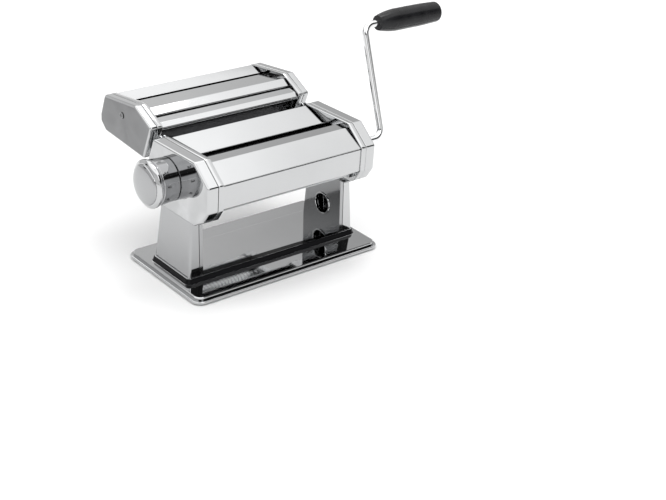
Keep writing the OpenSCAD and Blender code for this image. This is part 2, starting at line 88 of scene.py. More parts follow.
class Graph:
    """A short hand for building one material's nodes."""

    def __init__(self, name):
        self.material = bpy.data.materials.new(name)
        self.material.use_nodes = True
        self.tree = self.material.node_tree
        self.shader = next(n for n in self.tree.nodes if n.type == "BSDF_PRINCIPLED")
        coords = self.tree.nodes.new("ShaderNodeTexCoord")
        self.where = coords.outputs["Object"]

    def link(self, a, b):
        self.tree.links.new(a, b)

    def noise(self, scale, detail=3.0, stretch=(1, 1, 1)):
        mapping = self.tree.nodes.new("ShaderNodeMapping")
        mapping.inputs["Scale"].default_value = stretch
        self.link(self.where, mapping.inputs["Vector"])
        noise = self.tree.nodes.new("ShaderNodeTexNoise")
        noise.inputs["Scale"].default_value = scale
        noise.inputs["Detail"].default_value = detail
        self.link(mapping.outputs["Vector"], noise.inputs["Vector"])
        return noise.outputs["Fac"]

    def ramp(self, fac, low, high, start=0.35, end=0.65):
        node = self.tree.nodes.new("ShaderNodeMapRange")
        node.inputs["From Min"].default_value = start
        node.inputs["From Max"].default_value = end
        node.inputs["To Min"].default_value = low
        node.inputs["To Max"].default_value = high
        self.link(fac, node.inputs["Value"])
        return node.outputs["Result"]

    def mix(self, fac, a, b):
        node = self.tree.nodes.new("ShaderNodeMix")
        node.data_type = "RGBA"
        self.link(fac, node.inputs["Factor"])
        node.inputs["A"].default_value = (*a, 1)
        node.inputs["B"].default_value = (*b, 1)
        return node.outputs["Result"]

    def bump(self, *layers):
        """Stacks (height, distance in mm, strength) layers into the normal."""
        normal = None
        for height, distance, strength in layers:
            node = self.tree.nodes.new("ShaderNodeBump")
            node.inputs["Distance"].default_value = distance * MM
            node.inputs["Strength"].default_value = strength
            self.link(height, node.inputs["Height"])
            if normal is not None:
                self.link(normal, node.inputs["Normal"])
            normal = node.outputs["Normal"]
        self.link(normal, self.shader.inputs["Normal"])


def metal(name, color, rough, grain=(0.02, 1, 1), grain_depth=0.0004, dents=0.012, smear=0.03):
    """Polished or brushed metal: colour drift, smudges, fine lines and slight dents."""
    g = Graph(name)
    g.shader.inputs["Metallic"].default_value = 1.0
    drift = g.noise(9, 4)
    darker = tuple(c * 0.93 for c in color)
    g.link(g.mix(g.ramp(drift, 0, 1), darker, color), g.shader.inputs["Base Color"])
    smudge = g.noise(34, 6)
    g.link(g.ramp(smudge, rough, rough + smear, 0.45, 0.75), g.shader.inputs["Roughness"])
    lines = g.noise(2600, 2, grain)
    sheet = g.noise(16, 1, (0.35, 1, 1))
    g.bump((sheet, dents, 1.0), (lines, grain_depth, 1.0))
    return g.material


def chrome_with_painted_face_shade(name, color, face_shade_color, rough):
    """Chrome whose flat end faces (along X) get a darker, cloudy base colour: painted shade."""
    material = metal(name, color, rough)
    tree = material.node_tree
    geometry = tree.nodes.new("ShaderNodeNewGeometry")
    facing = tree.nodes.new("ShaderNodeVectorMath")
    facing.operation = "DOT_PRODUCT"
    facing.inputs[1].default_value = (1, 0, 0)
    tree.links.new(geometry.outputs["Normal"], facing.inputs[0])
    size = tree.nodes.new("ShaderNodeMath")
    size.operation = "ABSOLUTE"
    tree.links.new(facing.outputs["Value"], size.inputs[0])
    # mask of the faces whose normal lies along X, where the painted shade goes
    face_shade_mask = tree.nodes.new("ShaderNodeMapRange")
    unshaded_below, shaded_above = 0.93, 0.995
    face_shade_mask.inputs["From Min"].default_value = unshaded_below
    face_shade_mask.inputs["From Max"].default_value = shaded_above
    tree.links.new(size.outputs["Value"], face_shade_mask.inputs["Value"])
    shader = next(n for n in tree.nodes if n.type == "BSDF_PRINCIPLED")
    unshaded_color = shader.inputs["Base Color"].links[0].from_socket
    mix = tree.nodes.new("ShaderNodeMix")
    mix.data_type = "RGBA"
    tree.links.new(face_shade_mask.outputs["Result"], mix.inputs["Factor"])
    tree.links.new(unshaded_color, mix.inputs["A"])
    shade_noise = tree.nodes.new("ShaderNodeTexNoise")
    shade_noise.inputs["Scale"].default_value, shade_noise.inputs["Distortion"].default_value = 30, 1.5
    coords = next(n for n in tree.nodes if n.type == "TEX_COORD")
    tree.links.new(coords.outputs["Object"], shade_noise.inputs["Vector"])
    shade = tree.nodes.new("ShaderNodeMix")
    shade.data_type = "RGBA"
    tree.links.new(shade_noise.outputs["Fac"], shade.inputs["Factor"])
    shade.inputs["A"].default_value = (*(c * 0.75 for c in face_shade_color), 1)
    shade.inputs["B"].default_value = (*(c * 1.25 for c in face_shade_color), 1)
    tree.links.new(shade.outputs["Result"], mix.inputs["B"])
    tree.links.new(mix.outputs["Result"], shader.inputs["Base Color"])
    return material


def plastic(name, color, rough, pebble, specular=0.5):
    g = Graph(name)
    g.shader.inputs["Specular IOR Level"].default_value = specular
    drift = g.noise(60, 4)
    lighter = tuple(c * 1.7 + 0.004 for c in color)
    g.link(g.mix(g.ramp(drift, 0, 1), color, lighter), g.shader.inputs["Base Color"])
    g.link(g.ramp(g.noise(140, 5), rough, rough + 0.12), g.shader.inputs["Roughness"])
    g.bump((g.noise(1500, 3), pebble, 1.0))
    return g.material


def rubber(name):
    g = Graph(name)
    g.link(g.mix(g.ramp(g.noise(120, 5), 0, 1), (0.018, 0.018, 0.018), (0.05, 0.05, 0.048)),
           g.shader.inputs["Base Color"])
    g.link(g.ramp(g.noise(300, 4), 0.7, 0.92), g.shader.inputs["Roughness"])
    g.bump((g.noise(2200, 3), 0.05, 1.0))
    return g.material


CHROME = metal("polished_chrome", (0.56, 0.565, 0.57), 0.03, dents=0.006)
SHEET = metal("polished_sheet", (0.56, 0.565, 0.57), 0.06, dents=0.012)
# a darker copy of the chrome for the leg plates: painted shade
SHADED_LEG_PLATE = metal("leg_plate_shaded_chrome", (0.40, 0.404, 0.41), 0.10, dents=0.001)
BRIGHT_CUTTER = metal("cutter_chrome", (0.72, 0.725, 0.73), 0.22, (1, 0.05, 0.05), 0.0008, 0.0)
# a darker copy of the chrome for the left leg's shell only: painted shade
LEFT_LEG_SHADE = metal("left_leg_shaded_chrome", (0.42, 0.424, 0.43), 0.06, dents=0.012)
# black standing in for shade: painted shade on the deck riser, the deck strip and the head's back
# lip
SHADE_BLACK = metal("painted_shade_black", (0.012, 0.012, 0.013), 0.10, dents=0.006)
# a darker copy of the chrome for the knob barrel: painted shade
SHADED_BARREL = metal("knob_barrel_shaded_chrome", (0.36, 0.363, 0.37), 0.05, dents=0.004)
# near-black standing in for shade: painted shade on the head's front panel
SHADED_PANEL = metal("head_panel_painted_shade", (0.05, 0.05, 0.052), 0.16, dents=0.004)
BASE = metal("polished_base", (0.56, 0.565, 0.57), 0.04, dents=0.004)
# both cover materials carry painted shade on their end faces, darker on the head covers
HEAD_COVER = chrome_with_painted_face_shade("head_cover_chrome", (0.56, 0.565, 0.57), (0.20, 0.202, 0.205), 0.05)
BODY_COVER = chrome_with_painted_face_shade("end_cover_chrome", (0.56, 0.565, 0.57), (0.50, 0.505, 0.51), 0.04)
ROLLER = metal("ground_roller", (0.34, 0.343, 0.35), 0.20, (1, 0.05, 0.05), 0.0008, 0.0)
STEEL = metal("machined_steel", (0.52, 0.53, 0.54), 0.28, (1, 0.06, 0.06), 0.002, 0.0)
BRONZE = metal("sintered_bronze", (0.50, 0.33, 0.16), 0.34, (1, 1, 1), 0.004, 0.0)
# a brighter copy of the chrome for the crank: painted light
CRANK = metal("crank_brightened_chrome", (0.82, 0.825, 0.83), 0.03, dents=0.004)
# a darker copy of the chrome for the knob's dome: painted shade
SHADED_CAP = metal("knob_cap_shaded_chrome", (0.42, 0.424, 0.43), 0.04, dents=0.006)
SCREW = metal("screw_steel", (0.24, 0.242, 0.245), 0.22, dents=0.002)
BLACK = plastic("black_grip_plastic", (0.008, 0.008, 0.009), 0.16, 0.003, specular=0.22)
RUBBER = rubber("black_rubber")
INK = plastic("dial_paint", (0.03, 0.03, 0.03), 0.45, 0.002)

BY_SLOT = {"chrome": SHEET, "steel": STEEL, "roller_chrome": ROLLER, "cutter_chrome": BRIGHT_CUTTER,
           "bronze": BRONZE, "grip_plastic": BLACK, "rubber": RUBBER}
node_slot = {s["node"]: s["material_slot"] for s in frame["record"]["subparts"]}
body_of = {n: body for body, members in frame["record"]["behaviour"]["bodies"].items()
           for n in members}
for name, obj in nodes.items():
    obj.data.materials.clear()
    obj.data.materials.append(BY_SLOT[node_slot[name]])

# ---- mesh helpers -------------------------------------------------------------------


def box_mm(node):
    low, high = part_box(node)
    return low / MM, high / MM


def add_piece(name, verts, faces, material, node, extra=(), smooth=30):
    """A mesh piece in place of a CAD node (and extra ones), on that node's body."""
    mesh = bpy.data.meshes.new(name)
    mesh.from_pydata([Vector(v) * MM for v in verts], [], faces)
    mesh.validate()
    mesh.materials.append(material)
    obj = bpy.data.objects.new(name, mesh)
    bpy.context.scene.collection.objects.link(obj)
    tidy_normals(obj, smooth)
    place(obj, node, extra)
    return obj


def place(obj, node, extra=()):
    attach(obj, body_of[node])
    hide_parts(node, *extra)


def tidy_normals(obj, smooth):
    bm = bmesh.new()
    bm.from_mesh(obj.data)
    bmesh.ops.remove_doubles(bm, verts=bm.verts, dist=1e-7)
    bmesh.ops.recalc_face_normals(bm, faces=bm.faces)
    bm.to_mesh(obj.data)
    bm.free()
    obj.data.polygons.foreach_set("use_smooth", [True] * len(obj.data.polygons))
    obj.data.set_sharp_from_angle(angle=math.radians(smooth))


def weighted(obj):
    mod = obj.modifiers.new("normals", "WEIGHTED_NORMAL")
    mod.keep_sharp = True
    mod.weight = 80


def round_corners(points, radius, steps=6):
    """An anticlockwise YZ outline with rounded corners, as (point, outward normal)."""
    out = []
    count = len(points)
    radii = radius if isinstance(radius, (list, tuple)) else [radius] * count
    for i, corner in enumerate(points):
        p = Vector(corner)
        into = (p - Vector(points[i - 1])).normalized()
        away = (Vector(points[(i + 1) % count]) - p).normalized()
        n0, n1 = Vector((into.y, -into.x)), Vector((away.y, -away.x))
        centre = p - radii[i] * (n0 + n1) / (1 + n0.dot(n1))
        angle = math.atan2(n0.x * n1.y - n0.y * n1.x, n0.dot(n1))
        for k in range(steps + 1):
            t = angle * k / steps
            n = Vector((n0.x * math.cos(t) - n0.y * math.sin(t),
                        n0.x * math.sin(t) + n0.y * math.cos(t)))
            out.append((centre + radii[i] * n, n))
    return out


def ring(outline, x, inset):
    return [(x, *(p - n * inset)) for p, n in outline]


def loft(rings, close=False, caps=True):
    """Faces that join rings of equal length; caps close the first and last ring."""
    size = len(rings[0])
    verts = [v for r in rings for v in r]
    faces = []
    total = len(rings)
    for i in range(total if close else total - 1):
        a, b = i * size, ((i + 1) % total) * size
        faces += [(a + k, a + (k + 1) % size, b + (k + 1) % size, b + k) for k in range(size)]
    if caps and not close:
        faces += [tuple(range(size)), tuple(range((total - 1) * size, total * size))]
    return verts, faces


def flip_side(verts, side):
    return [(side * x, y, z) for x, y, z in verts]


def cut(obj, cutters):
    """Cuts solids out of a piece for good and removes them."""
    for tool in cutters:
        mod = obj.modifiers.new("cut", "BOOLEAN")
        mod.operation, mod.solver, mod.object = "DIFFERENCE", "EXACT", tool
        bpy.context.view_layer.update()
        graph = bpy.context.evaluated_depsgraph_get()
        mesh = bpy.data.meshes.new_from_object(obj.evaluated_get(graph))
        obj.modifiers.remove(mod)
        obj.data = mesh
        bpy.data.objects.remove(tool)
    return obj


def block(low, high):
    """A plain cutting block between two corners."""
    (x0, y0, z0), (x1, y1, z1) = low, high
    verts = [(x, y, z) for x in (x0, x1) for y in (y0, y1) for z in (z0, z1)]
    faces = [(0, 1, 3, 2), (4, 6, 7, 5), (0, 4, 5, 1), (2, 3, 7, 6), (0, 2, 6, 4), (1, 5, 7, 3)]
    mesh = bpy.data.meshes.new("tool")
    mesh.from_pydata([Vector(v) * MM for v in verts], [], faces)
    obj = bpy.data.objects.new("tool", mesh)
    bpy.context.scene.collection.objects.link(obj)
    return obj


def drill(centre, radius, x0, x1, steps=64):
    """A round cutting tool along X about centre = (y, z)."""
    rings = [[(x, centre[0] + radius * math.cos(a), centre[1] + radius * math.sin(a))
              for a in (2 * math.pi * k / steps for k in range(steps))] for x in (x0, x1)]
    verts, faces = loft(rings)
    mesh = bpy.data.meshes.new("tool")
    mesh.from_pydata([Vector(v) * MM for v in verts], [], faces)
    bm = bmesh.new()
    bm.from_mesh(mesh)
    bmesh.ops.recalc_face_normals(bm, faces=bm.faces)
    bm.to_mesh(mesh)
    bm.free()
    obj = bpy.data.objects.new("tool", mesh)
    bpy.context.scene.collection.objects.link(obj)
    return obj


def lathe(name, centre, profile, material, node, extra=(), steps=128, smooth=35):
    """A closed (x, radius) profile turned about an X axis through centre = (y, z)."""
    rings = []
    for k in range(steps):
        a = 2 * math.pi * k / steps
        rings.append([(x, centre[0] + r * math.cos(a), centre[1] + r * math.sin(a))
                      for x, r in profile])
    verts, faces = loft(rings, close=True)
    return add_piece(name, verts, faces, material, node, extra, smooth)


def arc(centre, radius, start, end, steps=8):
    """Points of an arc in a profile, angles in degrees."""
    return [(centre[0] + radius * math.cos(math.radians(a)),
             centre[1] + radius * math.sin(math.radians(a)))
            for a in (start + (end - start) * k / steps for k in range(steps + 1))]


def thick_path(points, radius, thickness, steps=6):
    """A YZ polyline with rounded bends as a closed outline of a bent sheet.

    The sheet lies on the left of the path; its free edges are rounded."""
    line = []
    for i, point in enumerate(points):
        p = Vector(point)
        if i in (0, len(points) - 1):
            q = Vector(points[1] if i == 0 else points[-2])
            d = (q - p if i == 0 else p - q).normalized()
            line.append((p, Vector((-d.y, d.x))))
            continue
        d0 = (p - Vector(points[i - 1])).normalized()
        d1 = (Vector(points[i + 1]) - p).normalized()
        l0, l1 = Vector((-d0.y, d0.x)), Vector((-d1.y, d1.x))
        angle = math.atan2(d0.x * d1.y - d0.y * d1.x, d0.dot(d1))
        sign = 1 if angle > 0 else -1
        bend = radius if sign > 0 else radius + thickness
        bend = max(bend, thickness + 0.2) if sign > 0 else bend
        centre = p + sign * bend * (l0 + l1) / (1 + l0.dot(l1))
        for k in range(steps + 1):
            t = angle * k / steps
            left = Vector((l0.x * math.cos(t) - l0.y * math.sin(t),
                           l0.x * math.sin(t) + l0.y * math.cos(t)))
            line.append((centre - sign * bend * left, left))
    outer = [p for p, _ in line]
    inner = [p + n * thickness for p, n in line]
    half = thickness / 2

    def tip(p, n, direction):
        mid = p + n * half
        return [mid - n * half * math.cos(a) + direction * half * math.sin(a)
                for a in (math.pi * k / 4 for k in (1, 2, 3))]

    first, last = line[0], line[-1]
    run0 = Vector((-first[1].y, first[1].x))
    run1 = Vector((last[1].y, -last[1].x))
    start = tip(first[0] - run0 * half, first[1], run0)
    end = tip(last[0] - run1 * half, last[1], run1)
    outer[0] = outer[0] - run0 * half
    inner[0] = inner[0] - run0 * half
    outer[-1] = outer[-1] - run1 * half
    inner[-1] = inner[-1] - run1 * half
    return outer + end + inner[::-1] + start[::-1]


def bent_sheet(name, node, points, radius=1.2, thickness=1.0, material=SHEET):
    low, high = box_mm(node)
    shape = thick_path(points, radius, thickness)
    rings = [[(x, p.x, p.y) for p in shape] for x in (low.x, high.x)]
    verts, faces = loft(rings)
    obj = add_piece(name, verts, faces, material, node, smooth=25)
    weighted(obj)
    return obj


def softened(node, width, material, angle=30):
    """A copy of a CAD node with small rounds on its sharp edges."""
    mesh = nodes[node].data.copy()
    mesh.name = node + "_soft"
    obj = bpy.data.objects.new(node + "_soft", mesh)
    bpy.context.scene.collection.objects.link(obj)
    bm = bmesh.new()
    bm.from_mesh(mesh)
    bmesh.ops.remove_doubles(bm, verts=bm.verts, dist=1e-6)
    bmesh.ops.dissolve_limit(bm, angle_limit=math.radians(0.5), verts=bm.verts, edges=bm.edges)
    bm.to_mesh(mesh)
    bm.free()
    mesh.materials.clear()
    mesh.materials.append(material)
    mesh.polygons.foreach_set("use_smooth", [True] * len(mesh.polygons))
    bevel = obj.modifiers.new("bevel", "BEVEL")
    bevel.width, bevel.segments = width * MM, 2
    bevel.limit_method, bevel.angle_limit = "ANGLE", math.radians(angle)
    bevel.harden_normals = True
    place(obj, node)
    return obj


# ---- outlines shared with the CAD ---------------------------------------------------

cover_low, cover_high = box_mm("end_cover_right")
FRONT, TOP, UNDER = cover_low.y, cover_high.z, cover_low.z
BODY_OUTLINE = [(-29, TOP), (FRONT, TOP - 15.9), (FRONT, 80), (-42.5, 69), (-30, UNDER),
                (38, UNDER), (45, 68), (45, 78), (31, TOP - 1.6)]
HEAD_OUTLINE = [(64.5, 133.6), (39.5, 121.5), (50.9, 90.2), (112, 93.8), (120.5, 101),
                (120.5, 108), (114, 127.3)]
KNOB = (7.3, 89.8)                          # axis of the knob, as (y, z)
DRIVE = (-23.0, 93.0)                       # axis of the crank
CUTTER_DRIVES = ((58, 105.5), (102.2, 107.5))
CRANK_RADIUS, SOCKET_RADIUS = 3.2, 3.25

# ---- base ---------------------------------------------------------------------------

LEDGE = 6.2         # height of the ledge round the deck
DECK_RIM = 2.7      # width of the curved riser between ledge and deck
RISER_TURN = 66     # steepest slope of the riser, in degrees


def plate_ring(half_x, half_y, radius, z):
    """A level rectangle with rounded corners about the Z axis."""
    corners = [(-half_x, -half_y), (half_x, -half_y), (half_x, half_y), (-half_x, half_y)]
    return [(p.x, p.y, z) for p, _ in round_corners(corners, radius, 12)]


def make_base_plate():
    """The pressed plate: outer edge, ledge, S-shaped riser and deck, hollow below; the riser's
    upward faces are black, painted shade.
    """
    low, high = box_mm("base_plate")
    _, foot = box_mm("leg_shell_right")
    margin_x, margin_y = 0.9, 0.6           # from the legs' feet to the edge of the deck
    deck_x, deck_y, deck = foot.x + margin_x, foot.y + margin_y, high.z
    corner, deck_corner, edge, bend, wall = 6.3, 3.0, 0.6, 0.9, 1.0

    def outer(inset, z):
        return plate_ring(high.x - inset, high.y - inset, corner - inset, z)

    def inner(out, z):
        return plate_ring(deck_x + out, deck_y + out, deck_corner + out, z)

    rings = [inner(-wall, deck - wall), inner(DECK_RIM - wall, LEDGE - wall),
             outer(wall, LEDGE - wall), outer(wall, low.z), outer(0, low.z)]
    rings += [outer(0, LEDGE - edge), outer(edge, LEDGE)]
    turns = [math.radians(RISER_TURN) * k / 6 for k in range(7)]
    rings += [inner(DECK_RIM - bend * math.sin(a), LEDGE + bend - bend * math.cos(a))
              for a in turns]
    rings += [inner(bend * math.sin(a), deck - bend + bend * math.cos(a))
              for a in reversed(turns)]
    verts, faces = loft(rings)
    plate = add_piece("base_top", verts, faces, BASE, "base_plate")
    plate.data.materials.append(SHADE_BLACK)
    # the riser's upward faces take the black: painted shade
    for face in plate.data.polygons:
        face.material_index = int((LEDGE + 0.1) * MM < face.center.z < (deck - 0.1) * MM
                                  and face.normal.z > 0)
    weighted(plate)


def make_base_skirt():
    """The folded lower edge: a flange under the plate and a short wall down to the feet."""
    low, high = box_mm("base_skirt")
    top, bottom = high.z, low.z
    flange, sheet, wall, fold, corner = 22, 0.8, 1.2, 0.9, 9
    skirt = [(flange, top - sheet), (wall, top - sheet), (wall, bottom + 0.2),
             (wall - 0.2, bottom), (0.2, bottom), (0.0, bottom + 0.2)]
    skirt += [(fold - y, top - fold + z) for y, z in arc((0, 0), fold, 0, 90, 6)]
    skirt += [(flange, top)]
    rings = [plate_ring(high.x - inset, high.y - inset, max(corner - inset, 1), z)
             for inset, z in skirt]
    verts, faces = loft(rings, close=True)
    weighted(add_piece("base_lower_rim", verts, faces, SHEET, "base_skirt"))


def make_deck_strip():
    """A thin black strip along the front of the deck, between the legs: painted shade."""
    _, foot = box_mm("leg_shell_right")
    _, plate = box_mm("base_plate")
    side, _ = box_mm("leg_plate_right")
    front, deck = -foot.y - 0.4, plate.z
    outline = [(-side.x, front), (side.x, front), (side.x, front + 2.0), (30, front + 5.0),
               (-side.x, front + 6.5)]
    sunk, raised = 0.2, 0.06
    rings = [[(x, y, deck + z) for x, y in outline] for z in (-sunk, raised)]
    verts, faces = loft(rings)
    # the strip is painted shade standing in for the dark band
    add_piece("deck_strip", verts, faces, SHADE_BLACK, "base_plate")


make_base_plate()
make_base_skirt()
make_deck_strip()


def make_feet():
    """Four round feet, each with a recess for its screw."""
    low, high = box_mm("rubber_feet")
    radius, top, steps = 7.0, high.z, 48
    verts, faces = [], []
    for cx in (low.x + radius, high.x - radius):
        for cy in (low.y + radius, high.y - radius):
            profile = [(0, 1.0), (2.6, 1.0), (3.0, 0.6), (3.0, 0.2), (3.3, 0.0), (6.4, 0.0),
                       (6.9, 0.4), (radius, top), (0, top)]
            rings = [[(cx + r * math.cos(a), cy + r * math.sin(a), z)
                      for a in (2 * math.pi * k / steps for k in range(steps))]
                     for r, z in profile]
            v, f = loft(rings, caps=False)
            faces += [tuple(i + len(verts) for i in face) for face in f]
            verts += v
    add_piece("feet", verts, faces, RUBBER, "rubber_feet", smooth=40)


make_feet()

# ---- legs ---------------------------------------------------------------------------

LEG_TAPER = 3.2 / (61.5 - 10.7)     # how fast a leg narrows towards the body


def leg_rings(x_seam, x_out, half, z0, z1, wall, corner):
    """Horizontal U-shaped rings of a leg shell, from z0 up to z1."""
    rings = []
    for z in (z0, z1):
        shrink = LEG_TAPER * (z - z0)
        out, side = x_out - shrink, half - shrink
        points = [(x_seam, -side)]
        points += [(out - corner + corner * math.sin(a), -side + corner - corner * math.cos(a))
                   for a in (math.pi / 2 * k / 8 for k in range(9))]
        points += [(x, -y) for x, y in reversed(points)]
        inner_corner = corner - wall
        inner = [(x_seam, -side + wall)]
        inner += [(out - corner + inner_corner * math.sin(a),
                   -side + corner - inner_corner * math.cos(a))
                  for a in (math.pi / 2 * k / 8 for k in range(9))]
        inner += [(x, -y) for x, y in reversed(inner)]
        rings.append([(x, y, z) for x, y in points + inner[::-1]])
    return rings


def make_legs():
    gap, wall, corner = 0.4, 1.0, 2.2
    # the left leg's shell takes the darker chrome copy, painted shade; the right one is plain
    # chrome
    for side, word, leg_metal in ((-1, "left", LEFT_LEG_SHADE), (1, "right", SHEET)):
        low, high = box_mm("leg_shell_" + word)
        seam, out = (low.x, high.x) if side > 0 else (-high.x, -low.x)
        rings = leg_rings(seam + gap, out, high.y, low.z, high.z, wall, corner)
        verts, faces = loft(rings)
        obj = add_piece("leg_outer_" + word, flip_side(verts, side), faces, leg_metal,
                        "leg_shell_" + word)
        weighted(obj)
        # the CAD leg plates take the darker chrome copy: painted shade
        plate = nodes["leg_plate_" + word]
        plate.data.materials.clear()
        plate.data.materials.append(SHADED_LEG_PLATE)


make_legs()


def make_eyelet():
    """The rolled rim of the clamp hole: a flat back and a half-round front."""
    low, high = box_mm("clamp_eyelet")
    centre = ((low.y + high.y) / 2, (low.z + high.z) / 2)
    outer = (high.y - low.y) / 2
    rim, back = 1.6, high.x - 0.25
    inner = outer - rim
    mid = (outer + inner) / 2
    profile = [(high.x, inner), (back, inner)]
    profile += arc((back, mid), rim / 2, 270, 90, 10)
    profile = [(max(x, low.x), r) for x, r in profile] + [(high.x, outer)]
    lathe("clamp_hole_rim", centre, profile, CHROME, "clamp_eyelet", steps=96)


make_eyelet()

# ---- end covers ---------------------------------------------------------------------


def end_cover(word, side, outline, node_prefix, corner, edge, tools, material):
    """A pressed cap with rounded corners and a rolled outer edge."""
    node = f"{node_prefix}_{word}"
    low, high = box_mm(node)
    seam, out = (low.x, high.x) if side > 0 else (-high.x, -low.x)
    path = round_corners(outline, corner)
    wall, gap = 1.0, 0.3
    seam += gap
    rings = [ring(path, seam, wall), ring(path, seam, 0.25), ring(path, seam + 0.25, 0)]
    for a in (math.pi / 2 * k / 8 for k in range(9)):
        rings.append(ring(path, out - edge + edge * math.sin(a), edge - edge * math.cos(a)))
    rings.append(ring(path, out, edge + 0.4))
    verts, faces = loft(rings, caps=False)
    inner, inner_faces = loft([ring(path, out - wall, edge), ring(path, seam, wall)], caps=False)
    size, count = len(path), len(verts)
    faces.append(tuple(range(count - size, count)))         # outer end face
    faces.append(tuple(range(count, count + size)))         # inner end face
    faces += [tuple(i + count for i in face) for face in inner_faces]
    verts += inner
    obj = add_piece(node + "_pressed", flip_side(verts, side), faces, material, node)
    cut(obj, tools(side, seam, out))
    tidy_normals(obj, 28)
    weighted(obj)
    return obj


def body_tools(side, seam, out):
    """Openings of a body cover: a notch for the leg and the hole of the knob or crank."""
    leg_half, skin, hole = 23.0, 1.6, 5.0
    x0, x1 = sorted((side * (seam - 10), side * (out - skin)))
    tools = [block((x0, -leg_half, UNDER - 5), (x1, leg_half, UNDER + 2))]
    centre = DRIVE if side > 0 else KNOB
    x0, x1 = sorted((side * (out - 3), side * (out + 2)))
    return tools + [drill(centre, hole, x0, x1)]


def head_tools(side, seam, out):
    """Openings of the right head cover for the two cutter sockets."""
    if side < 0:
        return []
    hole = 4.9
    return [drill(axis, hole, out - 3, out + 2) for axis in CUTTER_DRIVES]


for side, word in ((-1, "left"), (1, "right")):
    end_cover(word, side, BODY_OUTLINE, "end_cover", 2.6, 1.8, body_tools, BODY_COVER)
    end_cover(word, side, HEAD_OUTLINE, "head_cover", 3.2, 2.4, head_tools, HEAD_COVER)

for node in ("side_frame_left", "side_frame_right", "head_frame_left", "head_frame_right",
             "head_rails", "head_tongues", "front_scraper", "cover_screws", "head_screws"):
    finish = SHEET if "frame" in node else SCREW if "screws" in node else STEEL
    softened(node, 0.25, finish)

# ---- bent sheets --------------------------------------------------------------------

bent_sheet("front_sheet", "front_cover", [(-48.6, 100.6), (-48.6, 79.7), (-43.6, 79.7)])
bent_sheet("hopper_front_sheet", "hopper_front",
           [(-15.2, 106.8), (-17.2, 114.2), (-28.6, 114.2), (-48.4, 101.6)])
bent_sheet("hopper_slope", "hopper_plate", [(29.4, 115), (-2, 110.4)])
bent_sheet("back_sheet", "rear_cover", [(39, 63.6), (44, 68.2), (44, 77.9), (30.9, 114)])
bent_sheet("head_back_sheet", "head_rear_sheet",
           [(108, 95), (111.4, 95.2), (119.6, 101.6), (119.6, 107.7), (112.8, 127.2),
            (95.2, 125.1), (95.6, 118.5)], 0.4)
# a black lip in the step between the rear and middle sheets: painted shade
bent_sheet("head_back_lip", "head_rear_sheet", [(94.2, 125.6), (94.2, 118.5)], 0.4, 0.8, SHADE_BLACK)
bent_sheet("head_middle_sheet", "head_mid_sheet",
           [(90.8, 118.5), (90, 126.2), (62.2, 130.2), (54.2, 125.6), (57.6, 118.5)], 0.4)
bent_sheet("head_front_bevel", "head_front_sheet",
           [(54.6, 117.8), (52.4, 124.9), (45.2, 122.7), (41.5, 119.3), (41.4, 117.2),
            (44.4, 116.2)], 0.4)
# the head's front panel is near-black: painted shade of the gap under the lip
bent_sheet("head_front_panel", "head_front_sheet",
           [(48, 116.8), (43.8, 116.4), (51.6, 92.2), (57, 92.3)], 0.8, material=SHADED_PANEL)

# ---- rollers ------------------------------------------------------------------------


def make_roller(name, node, socket):
    """A smooth roller with two journals; socket is the radius of the bore, or 0 for none."""
    low, high = box_mm(node)
    centre = ((low.y + high.y) / 2, (low.z + high.z) / 2)
    radius = (high.y - low.y) / 2
    half, journal, round_off, depth = 74.0, 5.0, 0.8, 28
    profile = [(low.x, 0), (low.x, journal - 0.4), (low.x + 0.4, journal), (-half, journal)]
    profile += [(-half, radius - round_off)]
    profile += arc((-half + round_off, radius - round_off), round_off, 180, 90, 4)[1:]
    profile += arc((half - round_off, radius - round_off), round_off, 90, 0, 4)
    profile += [(half, journal), (high.x - 0.4, journal), (high.x, journal - 0.4)]
    if socket:
        profile += [(high.x, socket), (high.x - depth, socket), (high.x - depth, 0)]
    else:
        profile.append((high.x, 0))
    return lathe(name, centre, profile, ROLLER, node, steps=160)


make_roller("driven_roller", "drive_roller", SOCKET_RADIUS)
make_roller("adjustable_roller", "adjust_roller", 0)

# ---- crank and grip -----------------------------------------------------------------


def make_crank():
    """A round rod swept along its two bends; gives back the axis of the grip."""
    low, high = box_mm("crank_rod")
    grip_low, grip_high = box_mm("grip")
    grip_centre = Vector(((grip_low.y + grip_high.y) / 2, (grip_low.z + grip_high.z) / 2))
    start = Vector(DRIVE)
    arm = grip_centre - start
    length, lean = arm.length, arm.normalized()
    plane_x, bend = 119.5, 9.0
    turns = [math.pi / 2 * k / 14 for k in range(15)]
    path = [(low.x, 0.0), (plane_x - bend - 2, 0.0)]
    path += [(plane_x - bend + bend * math.sin(a), bend - bend * math.cos(a)) for a in turns]
    path += [(plane_x + bend - bend * math.cos(a), length - bend + bend * math.sin(a))
             for a in turns]
    path += [(high.x - 0.5, length)]
    side = Vector((0, lean.y, -lean.x))
    rings = []
    steps = 40
    for i, (x, s) in enumerate(path):
        here = Vector((x, *(start + lean * s)))
        before = path[max(i - 1, 0)]
        after = path[min(i + 1, len(path) - 1)]
        run = Vector((after[0] - before[0], *(lean * (after[1] - before[1])))).normalized()
        across = run.cross(side).normalized()
        rings.append([tuple(here + CRANK_RADIUS * (side * math.cos(a) + across * math.sin(a)))
                      for a in (2 * math.pi * k / steps for k in range(steps))])
    verts, faces = loft(rings)
    # the crank takes the brighter chrome copy: painted light
    add_piece("crank", verts, faces, CRANK, "crank_rod", smooth=40)
    return grip_centre


